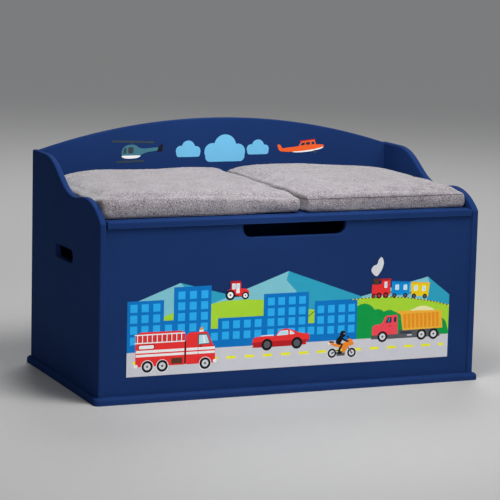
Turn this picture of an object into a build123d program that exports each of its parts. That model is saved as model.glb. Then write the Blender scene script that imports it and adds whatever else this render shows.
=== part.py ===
"""Wooden toy box: a bench-shaped chest with arm-shaped sides, an arched back and a hinged seat lid.

Millimetres, +Z up. The box stands on z = 0 and its front looks along -Y. The origin is under the
middle of the whole box. Painted fibreboard panels are held by cam joints, dowels and screws. Two
friction hinges carry the lid, which has two cushions on it. Stickers decorate the front and back.
"""

import os

from build123d import *

# Driving dimensions of the case
PANEL_SPAN = 920.0  # between the outer faces of the side panels
CASE_DEPTH = 480.0  # front edge to back edge of a side panel
SEAT_HEIGHT = 400.0  # floor to the top of the lid
ARM_BACK_RISE = 104.0  # lid to the top of a side panel at the back
CROWN_RISE = 68.0  # from there to the top of the backrest
BOARD = 15.0  # thickness of every panel, the lid and the rail
BASE_BOARD = 16.0
BASE_SIDE_REACH = 10.0  # how far the base stands out past each side panel
BASE_FRONT_REACH = 10.0
BASE_CORNER_RADIUS = 11.0
BASE_EDGE_RADIUS = 8.0
FRONT_RECESS = 5.0  # front panel behind the edges of the lid and side panels
RAIL_DEPTH = 60.0

# Arm outline, as distances behind the panel's front edge and rises over the lid
ARM_FRONT_DROP = 4.0
ARM_NOSE_LENGTH = 105.0
ARM_NOSE_RISE = 40.0
ARM_DIP_PLACE = 185.0
ARM_DIP_RISE = 32.0
ARM_SHOULDER_FLAT = 87.0  # level stretch at the back
ARM_CORNER_RADIUS = 7.0
ARM_EDGE_RADIUS = 4.0

# Openings for hands
HAND_SLOT_LENGTH = 125.0
HAND_SLOT_HEIGHT = 30.0
HAND_SLOT_OFFSET = 5.0  # behind the middle of the side panel
HAND_SLOT_DROP = 104.0  # below the top of the lid
FINGER_SLOT_WIDTH = 250.0
FINGER_SLOT_DEPTH = 31.0  # below the lid
FINGER_SLOT_RADIUS = 20.0
SLOT_EDGE_RADIUS = 2.0

# Lid
LID_SIDE_GAP = 2.5
LID_EDGE_RADIUS = 4.0
LID_GAP = 3.0  # between the lid and the rail
BUMPER_RADIUS = 5.0
BUMPER_HEIGHT = 2.0
BUMPER_FROM_END = 45.0
BUMPER_FROM_SLOT = 55.0
BACK_EDGE_RADIUS = 2.5

# Hinges
HINGE_FROM_END = 155.0  # from a side panel to the middle of a hinge
LEAF_LENGTH = 76.0
LEAF_WIDTH = 26.0
LEAF_THICKNESS = 1.6
KNUCKLE_RADIUS = 3.2
KNUCKLE_COUNT = 5
KNUCKLE_GAP = 0.2  # along the pin
KNUCKLE_RELIEF = 0.4  # between a leaf's edge and the other leaf's knuckles
PIN_RADIUS = 1.5
PIN_CLEARANCE = 0.05
PIN_HEAD_RADIUS = 2.3
PIN_HEAD_HEIGHT = 1.0
LEAF_POCKET_SLACK = 0.3
PIN_POCKET_SLACK = 1.5
HINGE_SCREW_SPACING = 28.0
HINGE_SCREW_PLACE = 17.0  # from the pin
HINGE_SCREW_LENGTH = 12.0
HINGE_SCREW_RADIUS = 1.5
HINGE_SCREW_HEAD = 3.0

# Fasteners between the panels
HOLE_CLEARANCE = 0.05
BLIND_EXTRA = 0.5
CAM_FROM_END = 34.0
CAM_RADIUS = 7.5
CAM_HEIGHT = 12.5
BOLT_THREAD_RADIUS = 3.0
BOLT_THREAD_LENGTH = 10.0
BOLT_COLLAR_RADIUS = 3.8
BOLT_COLLAR_LENGTH = 24.0
BOLT_NECK_RADIUS = 2.2
BOLT_HEAD_RADIUS = 3.5
BOLT_HEAD_LENGTH = 3.0
CAM_SLOT_CLEARANCE = 0.3
CAM_CROSS = (8.0, 1.6, 1.5)
DOWEL_RADIUS = 4.0
DOWEL_IN_SIDE = 9.0
DOWEL_IN_END = 21.0
DOWEL_CHAMFER = 1.0
LOW_CAM_RISE = 84.0  # over the base
HIGH_CAM_DROP = 80.0  # below the top of the lid
DOWEL_RISES = (44.0, 174.0)
RAIL_DOWEL_OFFSET = 18.0
BASE_SCREW_LENGTH = 50.0
BASE_SCREW_RADIUS = 2.5
BASE_SCREW_HEAD = 4.5
BASE_SCREW_FROM_END = 115.0
SIDE_SCREW_FROM_END = 60.0
SCREWS_IN_ROW = 4
RAIL_SCREW_LENGTH = 40.0
RAIL_SCREW_RADIUS = 2.0
RAIL_SCREW_HEAD = 4.0
RAIL_SCREW_FROM_END = 95.0
CROSS_WIDTH_SHARE = 0.25  # of the screw head's radius
CROSS_DEPTH_SHARE = 0.35

# Cushions
CUSHION_HEIGHT = 60.0
CUSHION_FRONT = 26.0  # behind the lid's front edge
CUSHION_BACK_GAP = 9.0  # in front of the lid's back edge
CUSHION_SIDE_GAP = 3.5  # to the side panels
CUSHION_SPLIT_FRONT = 36.0  # where the cushions meet, right of the middle
CUSHION_SPLIT_BACK = -16.0
CUSHION_SPLIT_GAP = 4.0
CUSHION_CORNER_RADIUS = 26.0
CUSHION_TOP_RADIUS = 20.0
CUSHION_BOTTOM_RADIUS = 10.0
COVER_THICKNESS = 3.0
PAD_SIZE = (50.0, 25.0)
PAD_THICKNESS = 1.5
PAD_INSET = (70.0, 60.0)  # from the cushion's outline to a pad's middle

# Stickers
FILM = 0.3
MURAL_MARGIN = 51.0  # to the side panels
MURAL_BOTTOM = 57.0
MURAL_DRAWN_HALF_WIDTH = 394.0  # half the width that the outline is drawn at
STICKER_RISE = 96.0  # lid to the middle of the backrest stickers

# Places worked out from the driving dimensions
OUTER_X = PANEL_SPAN / 2
INNER_X = OUTER_X - BOARD
ARM_BACK_HEIGHT = SEAT_HEIGHT + ARM_BACK_RISE
CROWN_HEIGHT = ARM_BACK_HEIGHT + CROWN_RISE
FRONT_Y = (BASE_FRONT_REACH - CASE_DEPTH) / 2
BACK_Y = FRONT_Y + CASE_DEPTH
PANEL_FACE_Y = FRONT_Y + FRONT_RECESS
BACKREST_Y = BACK_Y - BOARD
LID_BOTTOM = SEAT_HEIGHT - BOARD
FRONT_TOP = LID_BOTTOM - BUMPER_HEIGHT
RAIL_FRONT_Y = BACKREST_Y - RAIL_DEPTH
LID_BACK_Y = RAIL_FRONT_Y - LID_GAP
LID_X = INNER_X - LID_SIDE_GAP
HINGE_Y = RAIL_FRONT_Y - LID_GAP / 2
HINGE_Z = SEAT_HEIGHT - LEAF_THICKNESS + KNUCKLE_RADIUS
FRONT_MID_Y = PANEL_FACE_Y + BOARD / 2
BACK_MID_Y = BACK_Y - BOARD / 2
RAIL_MID_Y = BACKREST_Y - RAIL_DEPTH / 2
RAIL_MID_Z = SEAT_HEIGHT - BOARD / 2
CUSHION_BOTTOM = SEAT_HEIGHT + PAD_THICKNESS
KNUCKLE_PITCH = LEAF_LENGTH / KNUCKLE_COUNT
HINGE_PLACES = (HINGE_FROM_END - INNER_X, INNER_X - HINGE_FROM_END)
CAM_HEIGHTS = (BASE_BOARD + LOW_CAM_RISE, SEAT_HEIGHT - HIGH_CAM_DROP)
DOWEL_HEIGHTS = tuple(BASE_BOARD + rise for rise in DOWEL_RISES)
MURAL_HALF_WIDTH = INNER_X - MURAL_MARGIN
STICKER_Z = SEAT_HEIGHT + STICKER_RISE
FROM_START = (Align.CENTER, Align.CENTER, Align.MIN)


def block(x_range, y_range, z_range):
    """A box between three pairs of limits."""
    middle = [(low + high) / 2 for low, high in (x_range, y_range, z_range)]
    lengths = [high - low for low, high in (x_range, y_range, z_range)]
    return Pos(*middle) * Box(*lengths)


def rod(start, way, radius, length):
    """A cylinder that starts at a point and runs one way."""
    return Plane(origin=start, z_dir=way).location * Cylinder(radius, length, align=FROM_START)


def row(from_end):
    """Evenly spaced places along X, the outer ones so far from the side panels."""
    reach = INNER_X - from_end
    return [reach * (2 * index / (SCREWS_IN_ROW - 1) - 1) for index in range(SCREWS_IN_ROW)]


def group(solids):
    """Separate solids that share one node."""
    return Compound(children=list(solids))


def cut(body, tools):
    """The body with every tool taken out of it."""
    for tool in tools:
        body = body - tool
    return body


# ---------------------------------------------------------------- fasteners


def head_cross(start, way, head_radius):
    """The driver recess in a screw head."""
    depth = head_radius * CROSS_DEPTH_SHARE
    width = head_radius * CROSS_WIDTH_SHARE
    place = Plane(origin=start, z_dir=way).location
    bar = Box(head_radius, width, depth, align=FROM_START)
    return place * (bar + Rot(0, 0, 90) * bar)


def screw(start, way, length, radius, head_radius, grow=0.0):
    """A countersunk screw, flush at its start. With grow it is the hole for that screw."""
    cone = head_radius - radius
    place = Plane(origin=start, z_dir=way).location
    head = place * Cone(head_radius, radius, cone, align=FROM_START)
    shank = rod(start, way, radius + grow, length + (BLIND_EXTRA if grow else 0.0))
    whole = head + shank
    return whole if grow else whole - head_cross(start, way, head_radius)


def dowel(y, z, side, grow=0.0):
    """A wooden dowel across the face between a side panel and a board's end."""
    extra = BLIND_EXTRA if grow else 0.0
    start = (side * (INNER_X + DOWEL_IN_SIDE + extra), y, z)
    length = DOWEL_IN_SIDE + DOWEL_IN_END + 2 * extra
    pin = rod(start, (-side, 0, 0), DOWEL_RADIUS + grow, length)
    if grow:
        return pin
    return chamfer(pin.edges().filter_by(GeomType.CIRCLE), DOWEL_CHAMFER)


def cam_bolt(y, z, side, grow=0.0):
    """The bolt that is screwed into a side panel and reaches into a cam lock."""
    extra = BLIND_EXTRA if grow else 0.0
    face = (side * INNER_X, y, z)
    thread = rod(face, (side, 0, 0), BOLT_THREAD_RADIUS + grow, BOLT_THREAD_LENGTH + extra)
    collar = rod(face, (-side, 0, 0), BOLT_COLLAR_RADIUS + grow, BOLT_COLLAR_LENGTH)
    head_end = CAM_FROM_END + BOLT_HEAD_LENGTH / 2
    if grow:
        return thread + rod(face, (-side, 0, 0), BOLT_COLLAR_RADIUS + grow, head_end)
    neck = rod(face, (-side, 0, 0), BOLT_NECK_RADIUS, head_end)
    head_start = (side * (INNER_X - head_end), y, z)
    head = rod(head_start, (side, 0, 0), BOLT_HEAD_RADIUS, BOLT_HEAD_LENGTH)
    return thread + collar + neck + head


def cam_lock(y, z, side, way, grow=0.0):
    """The round cam in a board's inner face, which grips the bolt's head."""
    middle = Vector(side * (INNER_X - CAM_FROM_END), y, z)
    face = middle + Vector(*way) * (BOARD / 2)
    body = rod(face, tuple(-part for part in way), CAM_RADIUS + grow, CAM_HEIGHT)
    if grow:
        return body
    head_half = BOLT_HEAD_LENGTH / 2 + CAM_SLOT_CLEARANCE
    head_start = middle + Vector(-side * head_half, 0, 0)
    head_room = rod(head_start, (side, 0, 0), BOLT_HEAD_RADIUS + CAM_SLOT_CLEARANCE, 2 * head_half)
    neck_room = rod(middle, (side, 0, 0), BOLT_NECK_RADIUS + CAM_SLOT_CLEARANCE, CAM_RADIUS + 1)
    length, width, depth = CAM_CROSS
    place = Plane(origin=face, z_dir=tuple(-part for part in way)).location
    bar = Box(length, width, depth, align=FROM_START)
    cross = place * (bar + Rot(0, 0, 90) * bar)
    return cut(body, [head_room, neck_room, cross])


def cam_places():
    """(y, z, side, way the cam looks) of every cam joint."""
    rows = [(FRONT_MID_Y, height, (0, 1, 0)) for height in CAM_HEIGHTS]
    rows += [(BACK_MID_Y, height, (0, -1, 0)) for height in CAM_HEIGHTS]
    rows += [(RAIL_MID_Y, RAIL_MID_Z, (0, 0, -1))]
    return [(y, z, side, way) for y, z, way in rows for side in (-1, 1)]


def dowel_places():
    """(y, z, side) of every dowel."""
    rows = [(y, height) for y in (FRONT_MID_Y, BACK_MID_Y) for height in DOWEL_HEIGHTS]
    rows += [(RAIL_MID_Y + offset, RAIL_MID_Z) for offset in (-RAIL_DOWEL_OFFSET, RAIL_DOWEL_OFFSET)]
    return [(y, z, side) for y, z in rows for side in (-1, 1)]


def base_screws(grow=0.0):
    """Screws up through the base into the lower edges of all four panels."""
    places = [(x, y) for x in row(BASE_SCREW_FROM_END) for y in (FRONT_MID_Y, BACK_MID_Y)]
    side_x = OUTER_X - BOARD / 2
    side_ys = (FRONT_Y + SIDE_SCREW_FROM_END, (FRONT_Y + BACK_Y) / 2, BACK_Y - SIDE_SCREW_FROM_END)
    places += [(side * side_x, y) for side in (-1, 1) for y in side_ys]
    size = (BASE_SCREW_LENGTH, BASE_SCREW_RADIUS, BASE_SCREW_HEAD)
    return [screw((x, y, 0), (0, 0, 1), *size, grow) for x, y in places]


def rail_screws(grow=0.0):
    """Screws through the back panel into the hinge rail."""
    size = (RAIL_SCREW_LENGTH, RAIL_SCREW_RADIUS, RAIL_SCREW_HEAD)
    return [screw((x, BACK_Y, RAIL_MID_Z), (0, -1, 0), *size, grow) for x in row(RAIL_SCREW_FROM_END)]


def hinge_screws(way, grow=0.0):
    """The screws of both leaves on one side of the pins: way is -1 for the lid, 1 for the rail."""
    y = HINGE_Y + way * HINGE_SCREW_PLACE
    size = (HINGE_SCREW_LENGTH, HINGE_SCREW_RADIUS, HINGE_SCREW_HEAD)
    offsets = (-HINGE_SCREW_SPACING, 0.0, HINGE_SCREW_SPACING)
    places = [centre + offset for centre in HINGE_PLACES for offset in offsets]
    return [screw((x, y, SEAT_HEIGHT), (0, 0, -1), *size, grow) for x in places]


def panel_holes():
    """Every hole that the panel joints need."""
    holes = [dowel(y, z, side, HOLE_CLEARANCE) for y, z, side in dowel_places()]
    holes += [cam_bolt(y, z, side, HOLE_CLEARANCE) for y, z, side, way in cam_places()]
    holes += [cam_lock(y, z, side, way, HOLE_CLEARANCE) for y, z, side, way in cam_places()]
    return holes + base_screws(HOLE_CLEARANCE) + rail_screws(HOLE_CLEARANCE)


# ------------------------------------------------------------------- panels


def base_board():
    """The board that everything stands on, rounded at the top of its front and side edges."""
    half_width = OUTER_X + BASE_SIDE_REACH
    board = block((-half_width, half_width), (FRONT_Y - BASE_FRONT_REACH, BACK_Y), (0, BASE_BOARD))
    corners = board.edges().filter_by(Axis.Z).group_by(Axis.Y)[0]
    board = fillet(corners, BASE_CORNER_RADIUS)
    rim = board.faces().sort_by(Axis.Z)[-1].edges().sort_by(Axis.Y)[:-1]
    return fillet(rim, BASE_EDGE_RADIUS)


def arm_outline():
    """Outline of a side panel, drawn as distance behind its front edge against height."""
    nose = (ARM_NOSE_LENGTH, SEAT_HEIGHT + ARM_NOSE_RISE)
    dip = (ARM_DIP_PLACE, SEAT_HEIGHT + ARM_DIP_RISE)
    shoulder = (CASE_DEPTH - ARM_SHOULDER_FLAT, ARM_BACK_HEIGHT)
    level = ((1, 0), (1, 0))
    front_top = (0, SEAT_HEIGHT - ARM_FRONT_DROP)
    edges = [
        TangentArc(nose, front_top, tangent=(-1, 0)),
        Spline(nose, dip, tangents=level),
        Spline(dip, shoulder, tangents=level),
        Polyline(
            shoulder,
            (CASE_DEPTH, ARM_BACK_HEIGHT),
            (CASE_DEPTH, BASE_BOARD),
            (0, BASE_BOARD),
            front_top,
        ),
    ]
    return make_face(Curve() + edges)


def side_panel(side):
    """A side panel with its arm-shaped top and hand slot; side is -1 for left and 1 for right."""
    start = min(side * OUTER_X, side * INNER_X)
    sketch_plane = Plane(origin=(start, FRONT_Y, 0), x_dir=(0, 1, 0), z_dir=(1, 0, 0))
    panel = extrude(sketch_plane.location * arm_outline(), BOARD, dir=(1, 0, 0))
    corner = panel.edges().filter_by(Axis.X).group_by(Axis.Y)[0].sort_by(Axis.Z)[-1]
    panel = fillet(corner, ARM_CORNER_RADIUS)
    flat_faces = panel.faces().filter_by(Axis.X)
    rims = [edge for face in flat_faces for edge in face.edges() if is_eased(edge)]
    panel = fillet(rims, ARM_EDGE_RADIUS)
    slot = SlotOverall(HAND_SLOT_LENGTH, HAND_SLOT_HEIGHT)
    slot_middle = (start, (FRONT_Y + BACK_Y) / 2 + HAND_SLOT_OFFSET, SEAT_HEIGHT - HAND_SLOT_DROP)
    slot_plane = Plane(origin=slot_middle, x_dir=(0, 1, 0), z_dir=(1, 0, 0))
    panel = panel - extrude(slot_plane.location * slot, BOARD, dir=(1, 0, 0))
    slot_rims = [wire for face in panel.faces().filter_by(Axis.X) for wire in face.inner_wires()]
    return fillet([edge for wire in slot_rims for edge in wire.edges()], SLOT_EDGE_RADIUS)


def is_eased(edge):
    """Whether a side panel's edge is one of the rounded ones: not at its foot or its back."""
    middle = edge.center()
    return middle.Z > BASE_BOARD + 1 and middle.Y < BACK_Y - 1


def front_panel():
    """The front, with the finger slot at its top edge."""
    panel = block((-INNER_X, INNER_X), (PANEL_FACE_Y, PANEL_FACE_Y + BOARD), (BASE_BOARD, FRONT_TOP))
    half = FINGER_SLOT_WIDTH / 2
    through = (PANEL_FACE_Y - 1, PANEL_FACE_Y + BOARD + 1)
    tool = block((-half, half), through, (LID_BOTTOM - FINGER_SLOT_DEPTH, FRONT_TOP + 1))
    tool = fillet(tool.edges().filter_by(Axis.Y).group_by(Axis.Z)[0], FINGER_SLOT_RADIUS)
    panel = panel - tool
    rims = [edge for face in panel.faces().filter_by(Axis.Y) for edge in face.edges() if in_slot(edge)]
    return fillet(rims, SLOT_EDGE_RADIUS)


def in_slot(edge):
    """Whether an edge of the front panel borders the finger slot."""
    middle = edge.center()
    below_top = middle.Z < FRONT_TOP - 1
    return below_top and middle.Z > BASE_BOARD + 1 and abs(middle.X) < FINGER_SLOT_WIDTH / 2 + 1


def arched_back_panel():
    """The back of the box and the backrest in one board, under a circular arch."""
    ends = (INNER_X, ARM_BACK_HEIGHT)
    arch = ThreePointArc(ends, (0, CROWN_HEIGHT), (-INNER_X, ARM_BACK_HEIGHT))
    rest = Polyline((-INNER_X, ARM_BACK_HEIGHT), (-INNER_X, BASE_BOARD), (INNER_X, BASE_BOARD), ends)
    sketch_plane = Plane(origin=(0, BACK_Y, 0), x_dir=(1, 0, 0), z_dir=(0, -1, 0))
    outline = make_face(Curve() + [arch, rest])
    panel = extrude(sketch_plane.location * outline, BOARD, dir=(0, -1, 0))
    rims = panel.edges().filter_by(GeomType.CIRCLE)
    return fillet(rims, BACK_EDGE_RADIUS)


def leaf_pockets():
    """The shallow pockets that let both hinges in flush with the lid and the rail."""
    half = LEAF_LENGTH / 2
    leaf_size = (half + LEAF_POCKET_SLACK, LEAF_WIDTH + LEAF_POCKET_SLACK)
    pin_size = (half + PIN_POCKET_SLACK, KNUCKLE_RADIUS + KNUCKLE_RELIEF)
    pockets = []
    for centre in HINGE_PLACES:
        for reach, depth in (leaf_size, pin_size):
            x_range = (centre - reach, centre + reach)
            y_range = (HINGE_Y - depth, HINGE_Y + depth)
            pockets.append(block(x_range, y_range, (SEAT_HEIGHT - LEAF_THICKNESS, HINGE_Z)))
    return pockets


def hinge_rail():
    """The fixed strip behind the lid."""
    rail = block((-INNER_X, INNER_X), (RAIL_FRONT_Y, BACKREST_Y), (LID_BOTTOM, SEAT_HEIGHT))
    return cut(rail, leaf_pockets() + hinge_screws(1, HOLE_CLEARANCE))


def lid_board():
    """The seat board, rounded along its front and side edges."""
    lid = block((-LID_X, LID_X), (FRONT_Y, LID_BACK_Y), (LID_BOTTOM, SEAT_HEIGHT))
    rim = lid.faces().sort_by(Axis.Z)[-1].edges().sort_by(Axis.Y)[:-1]
    lid = fillet(rim, LID_EDGE_RADIUS)
    return cut(lid, leaf_pockets() + hinge_screws(-1, HOLE_CLEARANCE))


def lid_bumpers():
    """Soft round stops on the front panel's top edge."""
    places = (INNER_X - BUMPER_FROM_END, FINGER_SLOT_WIDTH / 2 + BUMPER_FROM_SLOT)
    starts = [(side * x, FRONT_MID_Y, FRONT_TOP) for side in (-1, 1) for x in places]
    bumpers = [rod(start, (0, 0, 1), BUMPER_RADIUS, BUMPER_HEIGHT) for start in starts]
    return [fillet(bumper.edges().group_by(Axis.Z)[-1], BUMPER_HEIGHT / 4) for bumper in bumpers]


# ------------------------------------------------------------------- hinges


def knuckle_range(centre, index, gap):
    """Where one knuckle lies along the pin, shortened by a gap at each end that has a neighbour."""
    start = centre - LEAF_LENGTH / 2 + index * KNUCKLE_PITCH
    low = start + gap if index > 0 else start
    high = start + KNUCKLE_PITCH
    return low, high - gap if index < KNUCKLE_COUNT - 1 else high


def hinge_leaf(centre, way):
    """One leaf with its knuckles: way is -1 for the lid's leaf, 1 for the rail's."""
    floor = SEAT_HEIGHT - LEAF_THICKNESS
    y_range = sorted((HINGE_Y, HINGE_Y + way * LEAF_WIDTH))
    half = LEAF_LENGTH / 2
    leaf = block((centre - half, centre + half), y_range, (floor, SEAT_HEIGHT))
    own = 0 if way > 0 else 1
    near = sorted((HINGE_Y, HINGE_Y + way * (KNUCKLE_RADIUS + KNUCKLE_RELIEF)))
    for index in range(KNUCKLE_COUNT):
        if index % 2 == own:
            low, high = knuckle_range(centre, index, KNUCKLE_GAP / 2)
            leaf = leaf + rod((low, HINGE_Y, HINGE_Z), (1, 0, 0), KNUCKLE_RADIUS, high - low)
        else:
            low, high = knuckle_range(centre, index, -KNUCKLE_GAP / 2)
            leaf = leaf - block((low, high), near, (floor - 1, SEAT_HEIGHT + 1))
    bore_start = (centre - half - 1, HINGE_Y, HINGE_Z)
    bore = rod(bore_start, (1, 0, 0), PIN_RADIUS + PIN_CLEARANCE, LEAF_LENGTH + 2)
    return cut(leaf - bore, hinge_screws(way, HOLE_CLEARANCE))


def hinge_pin(centre):
    """A pin with a small head at each end."""
    half = LEAF_LENGTH / 2
    pin = rod((centre - half, HINGE_Y, HINGE_Z), (1, 0, 0), PIN_RADIUS, LEAF_LENGTH)
    for end in (-1, 1):
        head = rod((centre + end * half, HINGE_Y, HINGE_Z), (end, 0, 0), PIN_HEAD_RADIUS, PIN_HEAD_HEIGHT)
        pin = pin + head
    rims = pin.edges().filter_by(GeomType.CIRCLE).sort_by(Axis.X)
    return fillet([rims[0], rims[-1]], PIN_HEAD_HEIGHT / 2)


# ----------------------------------------------------------------- cushions


def cushion_corners(side):
    """The four corners of a cushion's outline, from front left round to back left."""
    front = FRONT_Y + CUSHION_FRONT
    back = LID_BACK_Y - CUSHION_BACK_GAP
    outer = side * (INNER_X - CUSHION_SIDE_GAP)
    front_split = CUSHION_SPLIT_FRONT + side * CUSHION_SPLIT_GAP / 2
    back_split = CUSHION_SPLIT_BACK + side * CUSHION_SPLIT_GAP / 2
    if side < 0:
        return [(outer, front), (front_split, front), (back_split, back), (outer, back)]
    return [(front_split, front), (outer, front), (outer, back), (back_split, back)]


def cushion_form(side, inset):
    """A rounded block over a cushion's outline, smaller all round by inset."""
    outline = make_face(Polyline(*cushion_corners(side), close=True))
    outline = fillet(outline.vertices(), CUSHION_CORNER_RADIUS)
    if inset:
        outline = offset(outline, amount=-inset)
    form = extrude(outline, CUSHION_HEIGHT - 2 * inset, dir=(0, 0, 1))
    form = fillet(form.faces().sort_by(Axis.Z)[-1].edges(), CUSHION_TOP_RADIUS - inset)
    form = fillet(form.faces().sort_by(Axis.Z)[0].edges(), CUSHION_BOTTOM_RADIUS - inset)
    return Pos(0, 0, CUSHION_BOTTOM + inset) * form


def cushion_pads(side):
    """Hook-and-loop pads between a cushion and the lid."""
    xs, ys = zip(*cushion_corners(side))
    inset_x, inset_y = PAD_INSET
    low_x, high_x = sorted(xs)[1] + inset_x, sorted(xs)[-2] - inset_x
    low_y, high_y = min(ys) + inset_y, max(ys) - inset_y
    width, depth = PAD_SIZE
    pad = Box(width, depth, PAD_THICKNESS, align=FROM_START)
    return [Pos(x, y, SEAT_HEIGHT) * pad for x in (low_x, high_x) for y in (low_y, high_y)]


# ----------------------------------------------------------------- stickers


def film(face_y, sketch):
    """A sticker of a sketch in X and Z, on a board face that looks forwards."""
    plane = Plane(origin=(0, face_y, 0), x_dir=(1, 0, 0), z_dir=(0, -1, 0))
    return extrude(plane.location * sketch, FILM, dir=(0, -1, 0))


def mural_sketch():
    """Skyline of the town picture, with towers, hills and a train, and the puff of smoke over it."""
    half = MURAL_DRAWN_HALF_WIDTH
    skyline = [
        (-half, 0),
        (half, 0),
        (half, 148),
        (342, 188),
        (194, 181),
        (169, 153),
        (-13, 218),
        (-108, 183),
        (-126, 201),
        (-155, 201),
        (-163, 173),
        (-197, 193),
        (-230, 193),
        (-271, 203),
        (-371, 167),
        (-half, 167),
    ]
    town = make_face(Polyline(*skyline, close=True))
    smoke = ellipse_at(204, 210, 12, 11) + ellipse_at(213, 223, 10, 12) + ellipse_at(218, 232, 5, 9)
    fitted = scale(town + smoke, MURAL_HALF_WIDTH / MURAL_DRAWN_HALF_WIDTH)
    return Pos(0, MURAL_BOTTOM) * fitted


def ellipse_at(x, z, half_width, half_height):
    """An upright ellipse."""
    return Pos(x, z) * Ellipse(half_width, half_height)


def bar_at(x, z, width, height, tilt=0.0):
    """A straight bar, turned about its middle."""
    return Pos(x, z) * Rot(0, 0, tilt) * Rectangle(width, height)


def helicopter_sketch():
    """Cabin, tail boom, fin, rotor and skid."""
    cabin = ellipse_at(-20, -3, 23, 17)
    boom = bar_at(22, 3, 62, 9, 3)
    fin = bar_at(56, 8, 11, 22, -20)
    rotor = bar_at(-14, 17, 5, 16) + bar_at(-12, 24, 104, 5)
    skid = bar_at(-16, -25, 68, 4) + bar_at(-28, -20, 4, 12) + bar_at(-6, -20, 4, 12)
    return Pos(-207, STICKER_Z) * (cabin + boom + fin + rotor + skid)


def aeroplane_sketch():
    """Fuselage, canopy, wing and tail."""
    body = ellipse_at(13, -4, 50, 11)
    tail = bar_at(-40, 0, 32, 9, -8) + bar_at(-55, 8, 8, 20, 15)
    canopy = bar_at(15, 9, 36, 15) + bar_at(18, 18, 50, 5)
    return Pos(217, STICKER_Z) * (body + tail + canopy)


def cloud_sketch(x, z, size):
    """One cloud: three puffs on a flat foot."""
    puffs = [(-0.55, 0.28, 0.34), (0.0, 0.48, 0.48), (0.55, 0.26, 0.32)]
    cloud = Pos(x, z + 0.12 * size) * RectangleRounded(1.7 * size, 0.5 * size, 0.2 * size)
    for across, up, radius in puffs:
        cloud = cloud + Pos(x + across * size, z + up * size) * Circle(radius * size)
    return cloud


def clouds_sketch():
    """Three clouds in a row."""
    clouds = cloud_sketch(0, -22, 60) + cloud_sketch(-95, -12, 36) + cloud_sketch(86, -10, 33)
    return Pos(18, STICKER_Z) * clouds


# ----------------------------------------------------------------- the box


def make_nodes():
    """Every node of the toy box by name."""
    holes = panel_holes()
    nodes = {
        "base_board": cut(base_board(), holes),
        "left_side_panel": cut(side_panel(-1), holes),
        "right_side_panel": cut(side_panel(1), holes),
        "front_panel": cut(front_panel(), holes),
        "arched_back_panel": cut(arched_back_panel(), holes),
        "hinge_rail": cut(hinge_rail(), holes),
        "lid_board": lid_board(),
        "cam_bolts": group(cam_bolt(y, z, side) for y, z, side, way in cam_places()),
        "cam_locks": group(cam_lock(*place) for place in cam_places()),
        "wooden_dowels": group(dowel(*place) for place in dowel_places()),
        "base_screws": group(base_screws()),
        "rail_screws": group(rail_screws()),
        "lid_bumpers": group(lid_bumpers()),
        "rail_hinge_screws": group(hinge_screws(1)),
        "lid_hinge_screws": group(hinge_screws(-1)),
    }
    for name, centre in zip(("left", "right"), HINGE_PLACES):
        nodes[f"{name}_hinge_rail_leaf"] = hinge_leaf(centre, 1)
        nodes[f"{name}_hinge_lid_leaf"] = hinge_leaf(centre, -1)
        nodes[f"{name}_hinge_pin"] = hinge_pin(centre)
    for name, side in (("left", -1), ("right", 1)):
        foam = cushion_form(side, COVER_THICKNESS)
        nodes[f"{name}_cushion_cover"] = cushion_form(side, 0.0) - foam
        nodes[f"{name}_cushion_foam"] = foam
        nodes[f"{name}_cushion_pads"] = group(cushion_pads(side))
    nodes["front_mural"] = film(PANEL_FACE_Y, mural_sketch())
    nodes["helicopter_sticker"] = film(BACKREST_Y, helicopter_sketch())
    nodes["clouds_sticker"] = film(BACKREST_Y, clouds_sketch())
    nodes["aeroplane_sticker"] = film(BACKREST_Y, aeroplane_sketch())
    return nodes


def main():
    """Write one STEP file for each node."""
    os.makedirs("parts", exist_ok=True)
    for name, shape in make_nodes().items():
        shape.label = name
        export_step(shape, f"parts/{name}.step")


main()
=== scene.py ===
import math

import bmesh
import bpy
import numpy as np
from mathutils import Matrix, Vector, noise
from mathutils.bvhtree import BVHTree


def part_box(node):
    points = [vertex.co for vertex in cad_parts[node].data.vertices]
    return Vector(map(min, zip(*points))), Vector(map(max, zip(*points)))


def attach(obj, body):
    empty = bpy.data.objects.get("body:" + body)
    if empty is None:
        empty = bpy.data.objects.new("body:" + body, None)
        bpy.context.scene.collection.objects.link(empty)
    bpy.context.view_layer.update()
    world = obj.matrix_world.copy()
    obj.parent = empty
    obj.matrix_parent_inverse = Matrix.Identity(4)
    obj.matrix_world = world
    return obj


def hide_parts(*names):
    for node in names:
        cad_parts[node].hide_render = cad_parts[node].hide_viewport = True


# Looks of the wooden toy box. Metres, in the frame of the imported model: +Z up, front towards -Y.

MM = 0.001
FILM = 0.3 * MM  # thickness of a sticker
INK_STEP = 0.03 * MM  # a shape that lies on another stands this much prouder

# Cushions. Where a value has two entries, -1 is the left cushion and 1 the right one.
SPLIT_SHIFT = 0.052  # the gap between them lies this much further right at the front than at the back
CUSHION_SLACK = 0.002  # the form that is swollen is smaller all round by this
CUSHION_ROOM = 0.0025  # a cushion stands out past its cover's box by no more than this
CORNER_RADII = {  # front left, front right, back right, back left
    -1: (0.013, 0.020, 0.010, 0.012),
    1: (0.006, 0.018, 0.022, 0.010),
}
END_PUSH = {-1: (0.006, 0.003), 1: (0.007, 0.007)}  # longer at its left and right ends, then cut flat
END_DROP = {-1: 0.017, 1: 0.004}  # the top slopes down to the arm by this
END_REACH = 0.12  # where that slope starts, from the arm
SHOULDER = 0.9  # from this reach out, the right cushion's shoulders are fuller
RING_SPACING = 0.012
VOXEL = 0.005
CLOTH_FRAMES = 20
CLOTH_PRESSURE = 4.0
CUSHION_SWELL = 0.007  # no point moves further than this
INWARD_HELD = 0.75  # the share of a point's move inwards that is taken back
FOLD_RISE = 0.0027
CREASE_RISE = 0.0022
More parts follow.
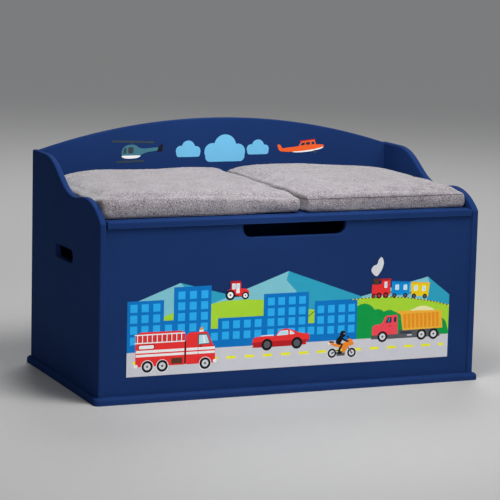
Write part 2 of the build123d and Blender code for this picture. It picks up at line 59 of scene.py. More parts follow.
TUFT_RISE = 0.0007
SEAM_SPACING = 0.008
SEAM_RADIUS = 0.0011
SEAM_DEPTH = 0.0004  # how far its middle is sunk in the pile

# Camera
CAMERA_PLACE = (-1.9964, -4.6118, 1.0786)
CAMERA_TURN = math.radians(23.31)
CAMERA_DROP = math.radians(8.96)
CAMERA_ROLL = math.radians(1.39)
CAMERA_LENS = 157.7
SENSOR_WIDTH = 36.0

FLOOR_REACH = 45.0
FLOOR_DARK = (190, 189, 188)
FLOOR_PALE = (197, 196, 195)
SURROUNDING = (216, 222, 230)

# Colours, as sRGB out of 255
INK_GAIN = 1.23  # the print is a little brighter than the chart below
NAVY = (31, 56, 107)
# the lighter navy of the edges: partly worn paint, partly a painted highlight
NAVY_EDGE = (62, 92, 152)
PLUSH = (173, 166, 171)
PLUSH_DARK = (84, 79, 83)
PLUSH_BRUSHED = (188, 181, 186)
SEAM_DARK = (84, 76, 80)
SEAM_PALE = (118, 110, 114)
INKS = {
    "road": (200, 200, 206),
    "yellow": (250, 238, 40),
    "tower": (0, 112, 188),
    "window": (38, 168, 232),
    "hill_light": (122, 190, 202),
    "hill_dark": (42, 156, 186),
    "lime": (162, 208, 50),
    "bush": (4, 148, 66),
    "red": (228, 48, 48),
    "dark_red": (178, 26, 32),
    "coral": (234, 70, 84),
    "white": (244, 244, 246),
    "black": (18, 18, 20),
    "iron": (84, 86, 92),
    "rim": (204, 206, 210),
    "orange": (255, 172, 52),
    "rib_orange": (228, 142, 30),
    "fairing": (244, 134, 40),
    "sand": (255, 226, 168),
    "glass": (176, 222, 232),
    "dark_glass": (30, 46, 72),
    "amber": (240, 160, 30),
    "smoke": (206, 208, 210),
    "carriage_blue": (0, 136, 206),
    "carriage_yellow": (252, 200, 16),
    "brown": (86, 52, 34),
    "teal": (62, 112, 126),
    "shadow_grey": (52, 62, 70),
    "plane_orange": (246, 92, 38),
    "sky": (106, 178, 216),
}


def linear(colour):
    """An sRGB colour out of 255 as linear values with alpha."""
    parts = [part / 255 for part in colour]
    low = [part / 12.92 if part <= 0.04045 else ((part + 0.055) / 1.055) ** 2.4 for part in parts]
    return (*low, 1.0)


# ---------------------------------------------------------------- materials


class Shader:
    """A node material being built, with short calls for the nodes used here."""

    def __init__(self, name):
        self.material = bpy.data.materials.new(name)
        self.material.use_nodes = True
        self.tree = self.material.node_tree
        self.surface = self.tree.nodes["Principled BSDF"]
        self.place = self.tree.nodes.new("ShaderNodeTexCoord").outputs["Object"]

    def node(self, kind, links=None, **values):
        """A new node: its own values, then its sockets, each linked or set."""
        made = self.tree.nodes.new(kind)
        for key, value in values.items():
            setattr(made, key, value)
        for key, value in (links or {}).items():
            if isinstance(value, bpy.types.NodeSocket):
                self.tree.links.new(value, made.inputs[key])
            else:
                made.inputs[key].default_value = value
        return made

    def stretched(self, scale):
        """The object's coordinates, stretched along each axis."""
        return self.node("ShaderNodeMapping", {"Vector": self.place, "Scale": scale}).outputs["Vector"]

    def noise(self, scale, detail=3.0, rough=0.55, vector=None):
        """Soft noise with so many cells to a metre."""
        links = {"Vector": vector or self.place, "Scale": scale, "Detail": detail, "Roughness": rough}
        return self.node("ShaderNodeTexNoise", links).outputs["Fac"]

    def cells(self, scale):
        """Round cells, so many to a metre."""
        links = {"Vector": self.place, "Scale": scale}
        return self.node("ShaderNodeTexVoronoi", links).outputs["Distance"]

    def ranged(self, value, low, high, start=0.0, end=1.0):
        """A value moved from one range to another."""
        links = {"Value": value, "From Min": start, "From Max": end, "To Min": low, "To Max": high}
        return self.node("ShaderNodeMapRange", links).outputs["Result"]

    def mixed(self, factor, first, second):
        """A mix of two colours."""
        links = {0: factor, 6: first, 7: second}
        return self.node("ShaderNodeMix", links, data_type="RGBA").outputs[2]

    def times(self, first, second):
        """The product of two values."""
        links = {0: first, 1: second}
        return self.node("ShaderNodeMath", links, operation="MULTIPLY").outputs["Value"]

    def edges(self, radius):
        """1 on edges and corners, 0 on flats."""
        rounded = self.node("ShaderNodeBevel", {"Radius": radius}, samples=4).outputs["Normal"]
        sharp = self.node("ShaderNodeNewGeometry").outputs["Normal"]
        dot = self.node("ShaderNodeVectorMath", {0: rounded, 1: sharp}, operation="DOT_PRODUCT")
        return self.ranged(dot.outputs["Value"], 1.0, 0.0, 0.8, 0.99)

    def finish(self, colour, rough, height=None, strength=0.2, depth=0.0005, **fixed):
        """Links the colour, roughness and bump, and sets the other sockets."""
        self.tree.links.new(colour, self.surface.inputs["Base Color"])
        self.tree.links.new(rough, self.surface.inputs["Roughness"])
        if height is not None:
            links = {"Height": height, "Strength": strength, "Distance": depth}
            bump = self.node("ShaderNodeBump", links)
            self.tree.links.new(bump.outputs["Normal"], self.surface.inputs["Normal"])
        for key, value in fixed.items():
            self.surface.inputs[key].default_value = value
        return self.material


def navy_paint():
    """Matt lacquer: faint roller texture, a little uneven, lighter on the edges: partly scuffed paint
    and partly a painted highlight.
    """
    shader = Shader("navy_paint")
    patch = shader.ranged(shader.noise(5.0), 0.0, 1.0, 0.3, 0.7)
    navy = linear(NAVY)
    deep = tuple(part * 0.88 for part in navy[:3]) + (1.0,)
    colour = shader.mixed(patch, deep, navy)
    broken = shader.ranged(shader.noise(140.0, 4.0), 0.15, 0.75, 0.35, 0.65)
    # edges lightened: partly scuffed paint, partly a painted highlight where the rounded edges catch
    # the light
    wear_and_highlight = shader.times(shader.edges(0.0022), broken)
    colour = shader.mixed(wear_and_highlight, colour, linear(NAVY_EDGE))
    rough = shader.ranged(shader.noise(26.0), 0.42, 0.54)
    texture = shader.noise(620.0, 2.0)
    return shader.finish(colour, rough, texture, 0.1, 0.0004, **{"Specular IOR Level": 0.004})


def beech():
    """Pale close-grained wood."""
    shader = Shader("beech")
    grain = shader.noise(90.0, 5.0, vector=shader.stretched((0.12, 1.0, 1.0)))
    colour = shader.mixed(grain, linear((222, 184, 136)), linear((176, 132, 88)))
    rough = shader.ranged(grain, 0.5, 0.7)
    return shader.finish(colour, rough, grain, 0.3, 0.0003)


def steel(name, colour, rough):
    """Plated or brushed steel with fine scratches and duller patches."""
    shader = Shader(name)
    scratch = shader.noise(900.0, 3.0, vector=shader.stretched((0.08, 1.0, 1.0)))
    dull = tuple(part * 0.7 for part in linear(colour)[:3]) + (1.0,)
    shade = shader.mixed(shader.noise(60.0), linear(colour), dull)
    roughness = shader.ranged(scratch, rough, rough + 0.2)
    return shader.finish(shade, roughness, scratch, 0.15, 0.0001, Metallic=1.0)


def rubber():
    """Dark soft rubber."""
    shader = Shader("bumper_rubber")
    dust = shader.noise(400.0)
    colour = shader.mixed(dust, linear((52, 52, 54)), linear((78, 78, 80)))
    return shader.finish(colour, shader.ranged(dust, 0.7, 0.9), dust, 0.2, 0.0002)


def hook_and_loop():
    """Black tape with a coarse looped face."""
    shader = Shader("hook_and_loop")
    loops = shader.cells(900.0)
    colour = shader.mixed(loops, linear((24, 24, 27)), linear((58, 58, 62)))
    return shader.finish(colour, shader.ranged(loops, 0.8, 0.95), loops, 0.6, 0.0008)


def foam():
    """Open-celled cream foam."""
    shader = Shader("foam")
    cells = shader.cells(700.0)
    colour = shader.mixed(cells, linear((206, 196, 160)), linear((236, 226, 196)))
    return shader.finish(colour, shader.ranged(cells, 0.85, 0.95), cells, 0.5, 0.001)


def plush():
    """Short fleece: mottled pile with a soft sheen."""
    shader = Shader("grey_plush")
    tufts = shader.noise(380.0, 3.0, 0.6)
    clumps = shader.noise(40.0, 3.0)
    mottle = shader.ranged(tufts, 0.0, 1.0, 0.36, 0.62)
    colour = shader.mixed(mottle, linear(PLUSH_DARK), linear(PLUSH))
    brushed = shader.ranged(clumps, 0.0, 0.3, 0.4, 0.7)
    colour = shader.mixed(brushed, colour, linear(PLUSH_BRUSHED))
    rough = shader.ranged(tufts, 0.86, 1.0)
    fixed = {"Sheen Weight": 0.55, "Sheen Roughness": 0.5, "Specular IOR Level": 0.1}
    return shader.finish(colour, rough, tufts, 0.9, 0.0022, **fixed)


def ink(name):
    """One printed colour on matt film."""
    shader = Shader("ink_" + name)
    full = tuple(min(1.0, part * INK_GAIN) for part in linear(INKS[name])[:3]) + (1.0,)
    pale = tuple(part + (1.0 - part) * 0.008 for part in full[:3]) + (1.0,)
    deep = tuple(part * 0.9 for part in full[:3]) + (1.0,)
    colour = shader.mixed(shader.noise(32.0, 4.0), deep, pale)
    grain = shader.noise(800.0, 2.0)
    rough = shader.ranged(grain, 0.38, 0.52)
    return shader.finish(colour, rough, grain, 0.05, 0.0002, **{"Specular IOR Level": 0.08})


INK_MATERIALS = {}


def ink_material(name):
    """The material of an ink, made once."""
    if name not in INK_MATERIALS:
        INK_MATERIALS[name] = ink(name)
    return INK_MATERIALS[name]


# ------------------------------------------------- outlines in a picture's plane


def rect(left, low, right, high):
    """An upright rectangle."""
    return [(left, low), (right, low), (right, high), (left, high)]


def oval(x, z, across, up=None, steps=28):
    """A circle, or an ellipse if up is given too."""
    up = across if up is None else up
    turns = [2 * math.pi * index / steps for index in range(steps)]
    return [(x + across * math.cos(turn), z + up * math.sin(turn)) for turn in turns]


def smooth(points, steps=5):
    """A closed curve through every point."""
    count = len(points)
    curve = []
    for index in range(count):
        before, here, after, beyond = (Vector(points[(index + step) % count]) for step in (-1, 0, 1, 2))
        for step in range(steps):
            t = step / steps
            bend = (2 * before - 5 * here + 4 * after - beyond) * t
            turn = (3 * here - before - 3 * after + beyond) * t * t
            curve.append(tuple(here + 0.5 * t * (after - before + bend + turn)))
    return curve


def rounded(points, radius, steps=4):
    """A closed outline with its corners rounded: by one radius, or by one for each corner."""
    count = len(points)
    radii = radius if isinstance(radius, tuple) else (radius,) * count
    outline = []
    for index, point in enumerate(points):
        corner = Vector(point)
        ends = []
        for other in (points[index - 1], points[(index + 1) % count]):
            side = Vector(other) - corner
            ends.append(corner + side.normalized() * min(radii[index], side.length / 2))
        for step in range(steps + 1):
            t = step / steps
            pulled = ends[0] * (1 - t) ** 2 + corner * 2 * t * (1 - t) + ends[1] * t * t
            outline.append(tuple(pulled))
    return outline


def stroke(points, width):
    """A line of even width along some points."""
    line = [Vector(point) for point in points]
    left, right = [], []
    for index, point in enumerate(line):
        ahead = line[min(index + 1, len(line) - 1)] - line[max(index - 1, 0)]
        across = Vector((-ahead.y, ahead.x)).normalized() * width / 2
        left.append(tuple(point + across))
        right.append(tuple(point - across))
    return left + right[::-1]


def painted(ink_name, *outlines):
    """Layers of one ink."""
    return [(ink_name, outline) for outline in outlines]


def wheel(x, z, radius, rim="rim", arch=None):
    """A wheel as layers: an arch if wanted, the tyre, the rim and the hub."""
    layers = [(arch, oval(x, z, radius * 1.1))] if arch else []
    layers += [("black", oval(x, z, radius)), (rim, oval(x, z, radius * 0.6))]
    return layers + [("iron", oval(x, z, radius * 0.2, steps=12))]


# ------------------------------------------------------- the town picture, in mm


def backdrop():
    """Hills, bushes, towers and the road."""
    return [
        ("hill_light", [(-371, 166), (-271, 203), (-255, 188), (-255, 118), (-371, 118)]),
        ("hill_dark", [(-271, 203), (-140, 167), (-140, 118), (-255, 118), (-255, 188), (-261, 193)]),
        ("hill_light", [(-197, 153), (-13, 218), (-18, 198), (7, 172), (7, 95), (-197, 95)]),
        ("hill_dark", [(-13, 218), (169, 152), (169, 95), (7, 95), (7, 172), (-18, 198)]),
        ("hill_light", [(169, 152), (337, 190), (342, 174), (335, 118), (160, 118)]),
        ("hill_dark", [(337, 190), (394, 146), (394, 100), (335, 100), (342, 174)]),
        ("lime", [(-309, 130), (-286, 138), (-286, 118), (-309, 118)]),
        ("lime", [(-198, 153), (-165, 158), (-113, 159), (-72, 156), (-72, 95), (-198, 95)]),
        ("lime", [(38, 130), (53, 127), (53, 95), (38, 95)]),
        ("brown", stroke([(38, 113), (53, 124)], 1.6)),
        ("lime", hill_top() + [(394, 54), (150, 54)]),
        ("bush", left_bushes()),
        ("bush", smooth([(360, 54), (366, 86), (376, 92), (386, 84), (391, 70), (393, 54)])),
        ("tower", skyline()),
        ("road", rect(-394, 0, 394, 54)),
    ]


def hill_top():
    """The crest that the railway runs along."""
    return [(150, 146), (194, 148), (232, 148), (269, 145), (319, 138), (360, 130), (394, 121)]


def left_bushes():
    """The outline of the bushes beside the last tower."""
    tops = [(159, 130), (168, 134), (178, 135), (190, 132), (199, 125), (203, 120), (212, 121)]
    tops += [(221, 118), (226, 114), (235, 117), (245, 117), (256, 112), (266, 108), (276, 98)]
    return [(159, 54)] + tops + [(276, 54)]


def skyline():
    """The outline of all the towers."""
    steps = [(-394, 167), (-309, 121), (-286, 194), (-198, 97)]
    steps += [(-181, 120), (-72, 169), (38, 97), (53, 147)]
    outline = [(-394, 54)]
    for index, (left, top) in enumerate(steps):
        right = steps[index + 1][0] if index + 1 < len(steps) else 159
        outline += [(left, top), (right, top)]
    return outline + [(159, 54)]


def windows():
    """Rows of windows in each tower: left edges, then the tops of the rows."""
    towers = [
        ((-387, -361, -334), (160, 136, 112, 88)),
        ((-306,), (112, 88)),
        ((-276, -249, -222), (184, 160, 136, 112, 88)),
        ((-197.5,), (88,)),
        ((-171, -145, -119, -93), (113, 89)),
        ((-62, -37, -11, 14), (160, 136, 113, 89)),
        ((37,), (89,)),
        ((60, 86, 112, 137), (136, 112, 88)),
    ]
    panes = []
    for lefts, tops in towers:
        corners = [(left, top) for left in lefts for top in tops]
        panes += [("window", rect(left, top - 17.5, left + 16.5, top)) for left, top in corners]
    return panes


def road_marks():
    """The yellow dashes down the road."""
    starts = [-380 + 44.1 * index for index in range(18)]
    return [("yellow", rounded(rect(x, 27.5, min(x + 23, 383), 33.5), 1.2)) for x in starts]


def railway():
    """Sleepers along the crest of the right hill."""
    crest = [(142, 146)] + hill_top()
    track = [("yellow", stroke(crest, 1.8))]
    for (x0, z0), (x1, z1) in zip(crest, crest[1:]):
        count = max(1, round((x1 - x0) / 8.5))
        for index in range(count):
            start, end = index / count, (index + 0.55) / count
            line = [(x0 + (x1 - x0) * t, z0 + (z1 - z0) * t) for t in (start, end)]
            track.append(("brown", stroke(line, 2.0)))
    return track


def fire_engine():
    """A red fire engine with a ladder, looking right."""
    rear = [(-374, 21), (-258, 21), (-258, 93), (-268, 97), (-361, 98), (-374, 92)]
    cab = [(-256, 21), (-186, 21), (-187, 56), (-193, 64), (-206, 92), (-246, 92), (-256, 86)]
    window = [(-228, 63), (-198, 64.5), (-206.5, 87.5), (-228, 87.5)]
    pane = [(-225.5, 65), (-200.5, 66), (-207.5, 85), (-225.5, 85)]
    layers = painted("red", rounded(rear, 3), rounded(cab, 4))
    layers += painted("black", rect(-259, 22, -256, 74))
    for low, high in ((43, 48.5), (51.5, 57.5)):
        layers += painted("white", rect(-373, low, -260, high), rect(-255, low, -187.2, high))
    layers += painted("dark_red", rounded(rect(-368, 58.5, -329, 70.5), 3))
    layers += painted("white", rounded(rect(-366, 60.5, -331, 68.5), 3.5))
    layers += painted("brown", rect(-290, 24, -264, 37))
    layers += painted("dark_red", rect(-372, 74, -262, 92))
    for index in range(10):
        left = -370.5 + 11.4 * index
        layers += painted("red", rect(left + 2.6, 76, left + 9, 90))
        layers += painted("white", rect(left, 74, left + 2.2, 92))
    layers += painted("white", rect(-376, 90.5, -259, 93), rect(-376, 72.5, -259, 75))
    layers += painted("iron", rounded(window, 2))
    layers += painted("glass", rounded(pane, 1.5))
    layers += painted("white", [(-214, 66), (-209, 66), (-212, 84), (-217, 84)])
    layers += painted("dark_red", rect(-227.6, 24, -226.8, 63))
    layers += painted("black", rounded(rect(-224, 58.5, -218, 61.5), 1))
    layers += painted("white", rounded(rect(-225, 92, -215, 97), 1))
    layers += painted("amber", rounded(rect(-223.5, 96, -216.5, 102), 2))
    layers += painted("white", oval(-373, 23, 5, 4), oval(-187, 25, 4.5, 4))
    for x in (-346, -311, -210):
        layers += wheel(x, 21, 13.2, arch="white")
    return layers


def car():
    """A red coupe, looking left."""
    under = [(40, 60), (33, 54), (24, 49), (-88, 48.5), (-95, 53)]
    body = [(-97, 60), (-95, 69), (-88, 72.5), (-62, 73.5), (-42, 73), (-32, 84), (-18, 88), (-2, 85)]
    body += [(14, 78.5), (27, 75.5), (38, 74.5), (42, 69)] + under
    flank = [(-97, 60), (-60, 61), (0, 61)] + under
    layers = painted("red", smooth(body))
    layers += painted("dark_red", smooth(flank))
    layers += painted("white", [(-77, 73.3), (-47, 73.8), (-47, 76.2), (-76, 75.6)])
    layers += painted("white", rounded([(-39, 73), (-30, 83.5), (-11.5, 84.5), (-10, 74)], 2))
    layers += painted("glass", rounded([(-36.5, 74.2), (-29, 82), (-13, 83), (-12, 75)], 2))
    layers += painted("white", rounded([(-6.5, 74), (-7, 84.2), (0, 80.5), (6, 75.3)], 2))
    layers += painted("glass", rounded([(-3.5, 75.4), (-3.8, 81), (0, 78.5), (3, 75.8)], 1))
    for x in (-62, 11):
        layers += wheel(x, 54, 13.4, "iron")
    return layers


def motorcycle():
    """An orange motorcycle, looking right, and its rider in black with a closed helmet."""
    tube_line = stroke([(99, 25), (112, 31), (124, 27), (136, 40), (148, 24)], 3)
    fairing = [(91, 50), (101, 48), (113, 45), (124, 46), (134, 51), (141, 57), (148, 53), (153, 43)]
    fairing += [(147, 41), (139, 38), (133, 29), (126, 24), (123, 33), (115, 38), (104, 41), (96, 45)]
    torso = [(110, 46), (108, 52), (113, 60), (120, 65), (125, 63), (124, 55), (119, 47)]
    arm = stroke([(121, 61), (128, 54), (140, 50)], 4)
    leg = stroke([(112, 47), (124, 44), (118, 34), (116, 25)], 5.5)
    layers = wheel(99, 25, 11, arch="white") + wheel(148, 24, 11, arch="white")
    layers += painted("iron", tube_line, rounded(rect(110, 18, 131, 28), 3))
    layers += painted("fairing", smooth(fairing))
    layers += painted("black", rounded([(90, 50), (104, 48.5), (103, 52), (92, 53)], 1.5))
    layers += painted("white", rounded([(88, 46), (94, 45), (93, 49), (88, 50)], 1))
    layers += painted("black", stroke([(141, 57), (137, 62), (134, 61)], 1.8))
    layers += painted("black", smooth(torso), arm, leg, rounded(rect(113, 22, 123, 26.5), 2))
    layers += painted("black", oval(125, 68, 7, 7.6))
    layers += painted("dark_glass", oval(128.6, 67.5, 3.2, 2.8))
    return layers + painted("rim", stroke([(126.8, 69.2), (131, 68.4)], 0.9))


def dump_truck():
    """A dump truck with a coral cab and a ribbed orange bed of sand, looking left."""
    cab = [(198, 60), (198.5, 80), (206, 84.5), (222, 85.5), (232, 104), (262.5, 105.5), (263.5, 60)]
    bed = [(258, 114), (374, 111), (379, 69), (276, 68), (270, 106), (261, 109)]
    mound = [(294, 112), (303, 117), (316, 121.5), (330, 122.5), (344, 119), (356, 111), (325, 106)]
    window = [(231, 87.5), (238.5, 100.5), (247, 100.5), (247, 88)]
    layers = painted("iron", rect(196, 51, 240, 60), rect(238, 50, 372, 60), rect(266, 58, 366, 70))
    layers += painted("shadow_grey", rect(270, 60, 300, 66))
    layers += painted("rim", rect(288, 55, 300, 58))
    layers += painted("coral", rounded(cab, 4))
    layers += painted("sand", smooth(mound))
    layers += painted("orange", rounded(bed, 2))
    for index in range(9):
        left = 279 + 10.4 * index
        rib = [(left, 73), (left + 6.6, 73), (left + 5.6, 106), (left - 2.4, 106.5)]
        layers += painted("rib_orange", rib)
    layers += painted("dark_glass", rounded(window, 1.5))
    layers += painted("hill_dark", [(238, 90), (241, 90), (243.5, 98), (240.5, 98)])
    layers += painted("dark_glass", rounded(rect(253, 88.5, 259, 100), 1))
    layers += painted("dark_red", rect(239, 79.6, 247, 81))
    for x in (225, 325, 356):
        layers += wheel(x, 56, 12.6)
    return layers


def train():
    """A small steam engine with two carriages, looking left."""
    layers = painted("dark_red", rounded(rect(194, 153, 222, 160), 1))
    layers += painted("red", rounded(rect(195, 157, 222, 178), 3), rounded(rect(219, 153, 241, 187), 1))
    layers += painted("dark_red", rounded(rect(216, 186, 243, 190), 1))
    layers += painted("brown", rect(200, 177, 212, 187), rounded(rect(197.5, 185.5, 214.5, 191), 1.5))
    layers += painted("white", rounded(rect(226, 169, 233, 183), 1))
    layers += painted("glass", rect(228, 171, 232, 181))
    layers += painted("brown", rect(241, 157, 246, 160), rect(291, 153, 296, 156))
    layers += painted("carriage_blue", rounded([(245, 152), (290, 150), (291, 179), (245, 182)], 1))
    layers += painted("tower", rounded([(243, 181), (292.5, 178), (292.5, 181), (244, 184)], 1))
    layers += painted("carriage_yellow", rounded([(295, 148), (339, 144), (342, 174), (295, 178)], 1))
    layers += painted("orange", rounded([(293.5, 177), (343.5, 173), (343.5, 176), (294, 180)], 1))
    for x, z in ((254, 163), (275, 162), (302, 159), (323, 157)):
        layers += painted("white", rounded(rect(x, z, x + 9, z + 12), 1))
        layers += painted("glass", rounded(rect(x + 2, z + 1.5, x + 7.5, z + 10.5), 1))
    for x, z, radius in ((199, 151, 5), (213, 152, 6.8), (230, 152, 6.8)):
        layers += wheel(x, z, radius, "dark_red")
    for x, z in ((252, 150), (280, 149), (302, 147), (330, 145)):
        layers += wheel(x, z, 5.6, "iron")
    return layers


def tractor():
    """A small red tractor, looking right."""
    bonnet = [(-134, 167), (-109, 167), (-108, 177), (-114, 183), (-134, 185)]
    cab = [(-158, 171), (-128, 169), (-128, 199), (-151, 199), (-152, 184), (-160, 181)]
    layers = painted("black", rect(-148, 166, -118, 170))
    layers += painted("red", rounded(bonnet, 2.5), rounded(cab, 2))
    layers += painted("dark_red", rounded(rect(-153, 197, -129, 201.5), 1))
    layers += painted("white", rounded(rect(-149, 183, -141, 196), 1))
    layers += painted("white", rounded(rect(-139, 174, -131, 196), 1))
    layers += painted("glass", rect(-147.5, 184.5, -142.5, 194), rect(-137.5, 184.5, -132.5, 194))
    return layers + wheel(-153, 170.5, 11.5, "white") + wheel(-117, 168, 8.6, "white")


def smoke_puff():
    """The puff of smoke over the railway engine."""
    puff = [(206, 197), (196, 203), (192, 212), (198, 221), (206, 224)]
    puff += [(210, 234), (217, 240), (222, 230), (221, 219), (216, 208)]
    return painted("smoke", smooth(puff))


# ------------------------- backrest pictures, in mm, stretched to fill their stickers' boxes


def helicopter():
    """A teal helicopter, looking left."""
    body = [(-50, -5), (-47, 6), (-36, 13), (-22, 15), (-8, 14), (3, 9), (20, 6)]
    body += [(62, 8), (64, 2), (30, -2), (12, -7), (2, -12), (-22, -14), (-44, -12)]
    belly = [(-49, -9), (-20, -8.5), (8, -9), (0, -13.5), (-20, -15), (-42, -14)]
    skid = stroke([(-66, -22), (20, -21)], 4)
    legs = [stroke([(-38, -20), (-41, -12)], 2.5), stroke([(-6, -20), (-3, -12)], 2.5)]
    rotor = stroke([(-81, 23), (-18, 21.5), (51, 19)], 4)
    windscreen = rounded([(-46, -4), (-43, 7), (-35, 9.5), (-35, -4)], 3)
    door = rounded(rect(-30, -4, -13, 10), 4)
    layers = painted("shadow_grey", skid, *legs, rect(-21, 13, -15, 21), rotor)
    layers += painted("teal", smooth(body))
    layers += painted("white", smooth(belly))
    layers += painted("shadow_grey", windscreen, door)
    return layers + painted("black", rounded([(60, -1), (66, 10), (79, 17), (77, -1)], 1.5))


def aeroplane():
    """An orange light aeroplane, looking right."""
    body = [(-77, 14), (-68, 14), (-60, 5), (-46, 6), (-8, 9), (30, 13), (60, 13), (74, 12), (77, 8)]
    body += [(70, 3), (40, -3), (0, -5.5), (-40, -5), (-66, -3), (-73, 3)]
    cabin = [(-8, 8), (2, 22), (46, 26), (51, 12)]
    belly = [(-26, -5), (10, -3), (50, 1.5), (75, 6.5), (68, 1.5), (36, -4.5), (5, -7), (-18, -7)]
    panes = [
        [(-2, 11), (5, 18.5), (14, 19), (13, 12)],
        [(17, 12.5), (18, 19.5), (31, 20), (31, 13)],
        [(36, 13.5), (36, 20.5), (44, 21), (47, 14)],
    ]
    layers = painted("plane_orange", rounded(cabin, 2), smooth(body, 4))
    layers += painted("white", smooth(belly))
    layers += painted("dark_glass", *[rounded(pane, 1) for pane in panes])
    layers += painted("dark_red", stroke([(-4, 22.5), (48, 27)], 2.5))
    return layers + painted("shadow_grey", oval(48, -6, 6, 4.5))


# ---------------------------------------------------------------- making pieces


def printed(name, origin, layers, base=0):
    """One piece for a list of (ink, outline in mm), each shape on the earlier ones that it meets."""
    mesh = bmesh.new()
    inks = list(dict.fromkeys(ink_name for ink_name, outline in layers))
    for (ink_name, outline), level in zip(layers, levels(layers, base)):
        add_slab(mesh, origin, outline, level * INK_STEP, inks.index(ink_name))
    piece = make_object(name, mesh)
    for ink_name in inks:
        piece.data.materials.append(ink_material(ink_name))
    return piece


def spread(outline):
    """(left, right, low, high) of an outline."""
    xs, zs = zip(*outline)
    return min(xs), max(xs), min(zs), max(zs)


def levels(layers, base=0):
    """How many shapes lie under each one, counting from base."""
    laid = []
    for ink_name, outline in layers:
        own = spread(outline)
        below = [level for other, level in laid if meets(own, other)]
        laid.append((own, 1 + max(below, default=base - 1)))
    return [level for own, level in laid]


def fitted(layers, low, high):
    """The layers, stretched to fill a node's box and centred on its middle."""
    sides = [spread(outline) for ink_name, outline in layers]
    left, right = min(side[0] for side in sides), max(side[1] for side in sides)
    bottom, top = min(side[2] for side in sides), max(side[3] for side in sides)
    across = (high.x - low.x) / MM / (right - left)
    up = (high.z - low.z) / MM / (top - bottom)
    middle = ((left + right) / 2, (bottom + top) / 2)
    return [
        (ink_name, [((x - middle[0]) * across, (z - middle[1]) * up) for x, z in outline])
        for ink_name, outline in layers
    ]


def meets(first, second):
    """Whether two (left, right, low, high) boxes overlap."""
    across = first[0] < second[1] and second[0] < first[1]
    return across and first[2] < second[3] and second[2] < first[3]


def make_object(name, mesh):
    """An object made of a bmesh, which is used up."""
    data = bpy.data.meshes.new(name)
    mesh.to_mesh(data)
    mesh.free()
    piece = bpy.data.objects.new(name, data)
    bpy.context.scene.collection.objects.link(piece)
    return piece


def add_slab(mesh, origin, outline, rise, index):
    """A thin slab of film in an outline, standing off the board behind it."""
    front, back = -FILM - rise, 0.0
    ring = [Vector((x * MM, 0.0, z * MM)) + origin for x, z in outline]
    loops = []
    for depth in (front, back):
        loops.append([mesh.verts.new(point + Vector((0.0, depth, 0.0))) for point in ring])
    faces = [mesh.faces.new(loops[0])]
    for start in range(len(ring)):
        end = (start + 1) % len(ring)
        faces.append(mesh.faces.new([loops[0][end], loops[0][start], loops[1][start], loops[1][end]]))
    area = sum(x0 * z1 - x1 * z0 for (x0, z0), (x1, z1) in zip(outline, outline[1:] + outline[:1]))
    if area < 0:
        bmesh.ops.reverse_faces(mesh, faces=faces)
    for face in faces:
        face.material_index = index


# -------------------------------------------------------------------- cushions


def cushion_ring(cover, side):
    """The rounded outline of a cushion, as (x, y) from the front left corner round to the back left."""
    low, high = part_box(cover)
    left = [low.x - END_PUSH[side][0]] * 2
    right = [high.x + END_PUSH[side][1]] * 2
    if side < 0:
        right[1] -= SPLIT_SHIFT
    else:
        left[0] += SPLIT_SHIFT
    corners = [(left[0], low.y), (right[0], low.y), (right[1], high.y), (left[1], high.y)]
    middle = Vector((sum(x for x, y in corners) / 4, sum(y for x, y in corners) / 4))
    outer = Vector((high.x - low.x, high.y - low.y)) / 2
    shrink = Vector((1 - CUSHION_SLACK / outer.x, 1 - CUSHION_SLACK / outer.y))
    pulled = [middle + (Vector(corner) - middle) * shrink for corner in corners]
    return middle, [Vector(point) for point in rounded(pulled, CORNER_RADII[side], 8)]


def even_ring(ring, spacing):
    """A closed outline with points at an even spacing."""
    points = []
    for here, after in zip(ring, ring[1:] + ring[:1]):
        count = max(1, math.ceil((after - here).length / spacing))
        points += [here.lerp(after, index / count) for index in range(count)]
    return points


def edge_height(point, low, high, side, corner_heights):
    """How high a cushion's upper edge is at a point, from its corners and its slope to the arm."""
    across = (point.x - low.x) / (high.x - low.x)
    back = (point.y - low.y) / (high.y - low.y)
    front_left, front_right, back_right, back_left = corner_heights
    front = front_left + (front_right - front_left) * across
    rear = back_left + (back_right - back_left) * across
    edge = front + (rear - front) * back
    outer = point.x - low.x if side < 0 else high.x - point.x
    return edge - END_DROP[side] * max(0.0, 1 - outer / END_REACH) ** 2 * min(1.0, back * 4)


def skin(mesh, rings):
    """Faces between rings of points, which all have the same count or close in one point."""
    for lower, upper in zip(rings, rings[1:]):
        count = max(len(lower), len(upper))
        for index in range(count):
            after = (index + 1) % count
            if len(lower) == 1:
                mesh.faces.new([lower[0], upper[after], upper[index]])
            elif len(upper) == 1:
                mesh.faces.new([lower[index], lower[after], upper[0]])
            else:
                mesh.faces.new([lower[index], lower[after], upper[after], upper[index]])


def cushion_shell(name, cover, side, corner_heights, crown, peak):
    """A closed form with a flat foot, upright sides and a crowned top, higher towards peak."""
    middle, ring = cushion_ring(cover, side)
    low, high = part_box(cover)
    ring = even_ring(ring, RING_SPACING)
    rows = [(0.0, 0.0), (0.5, 0.0), (0.95, 0.0), (0.99, 0.08)]
    rows += [(1.0, 0.3), (1.0, 0.74), (0.99, 0.9), (0.965, 0.98)]
    rows += [(reach, 1.0) for reach in (0.92, 0.78, 0.62, 0.45, 0.28, 0.12, 0.0)]
    mesh = bmesh.new()
    rings = []
    for reach, share in rows:
        if reach > SHOULDER and side > 0:
            reach = (1 + reach) / 2
        centre = middle.lerp(peak, share * (1 - reach))
        points = [centre + (point - middle) * reach for point in ring] if reach else [centre]
        domed = crown * (1 - reach**2.2) if share == 1.0 else 0.0
        loop = []
        for point in points:
            rise = share * edge_height(point, low, high, side, corner_heights) + domed
            loop.append(mesh.verts.new((point.x, point.y, low.z + rise)))
        rings.append(loop)
    skin(mesh, rings)
    return make_object(name, mesh)


def baked(piece):
    """The piece with its modifiers worked into its mesh."""
    seen = piece.evaluated_get(bpy.context.evaluated_depsgraph_get())
    data = bpy.data.meshes.new_from_object(seen)
    piece.modifiers.clear()
    piece.data = data
    return piece


